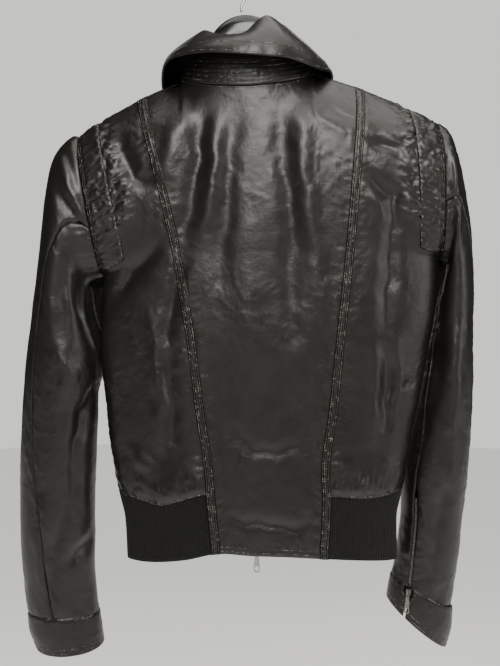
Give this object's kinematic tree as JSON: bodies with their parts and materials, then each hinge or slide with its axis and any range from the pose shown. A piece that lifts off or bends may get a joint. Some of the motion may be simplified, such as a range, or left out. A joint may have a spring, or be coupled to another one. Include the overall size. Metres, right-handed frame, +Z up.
{
  "type": "leather jacket on a hanger",
  "caption": "Short fitted leather jacket with a turned-down collar, ribbed hem and zipped cuffs, hanging open on a moulded hanger, with zip pulls that swing.",
  "frame": {"origin": "inner top of the hanger hook's curl, where it rests on a rail", "axes": "+X from the left sleeve to the right sleeve as seen from behind, +Y out of the jacket's front, +Z up; the hanger lies in the XZ plane"},
  "size_m": [0.5877, 0.1555, 0.8891],
  "materials": {
    "leather": "soft creased semi-gloss hide",
    "rib_knit": "matt ribbed knit",
    "zip_metal": "plated, lightly worn",
    "hanger_plastic": "high gloss",
    "hook_metal": "polished wire"
  },
  "bodies": {
    "jacket": {"back_centre": "leather", "back_side_left": "leather", "back_side_right": "leather", "back_strap_left": "leather", "back_strap_right": "leather", "armhole_strip_left": "leather", "armhole_strip_right": "leather", "front_left": "leather", "front_right": "leather", "collar_stand": "leather", "collar_fall": "leather", "top_sleeve_left": "leather", "top_sleeve_right": "leather", "under_sleeve_left": "leather", "under_sleeve_right": "leather", "cuff_left": "leather", "cuff_right": "leather", "rib_hem_left": "rib_knit", "rib_hem_right": "rib_knit", "front_zip_left": "zip_metal", "front_zip_right": "zip_metal", "cuff_zip_left": "zip_metal", "cuff_zip_right": "zip_metal", "front_slider": "zip_metal", "cuff_left_slider": "zip_metal", "cuff_right_slider": "zip_metal", "hanger_body": "hanger_plastic", "hanger_hook": "hook_metal"},
    "front_pull": {"front_pull": "zip_metal"},
    "cuff_left_pull": {"cuff_left_pull": "zip_metal"},
    "cuff_right_pull": {"cuff_right_pull": "zip_metal"}
  },
  "joints": [
    {"name": "front_pull_swing", "type": "hinge", "parent": "jacket", "child": "front_pull", "pos_m": [0.02019, 0.05255, -0.76955], "axis": [1, 0, 0], "range_deg": [0, 170]},
    {"name": "cuff_left_pull_swing", "type": "hinge", "parent": "jacket", "child": "cuff_left_pull", "pos_m": [-0.19828, 0.03522, -0.84307], "axis": [0.6513, -0.7589, 0], "range_deg": [0, 150]},
    {"name": "cuff_right_pull_swing", "type": "hinge", "parent": "jacket", "child": "cuff_right_pull", "pos_m": [0.21265, -0.00752, -0.80866], "axis": [-0.7974, 0.6035, 0], "range_deg": [0, 150]}
  ]
}
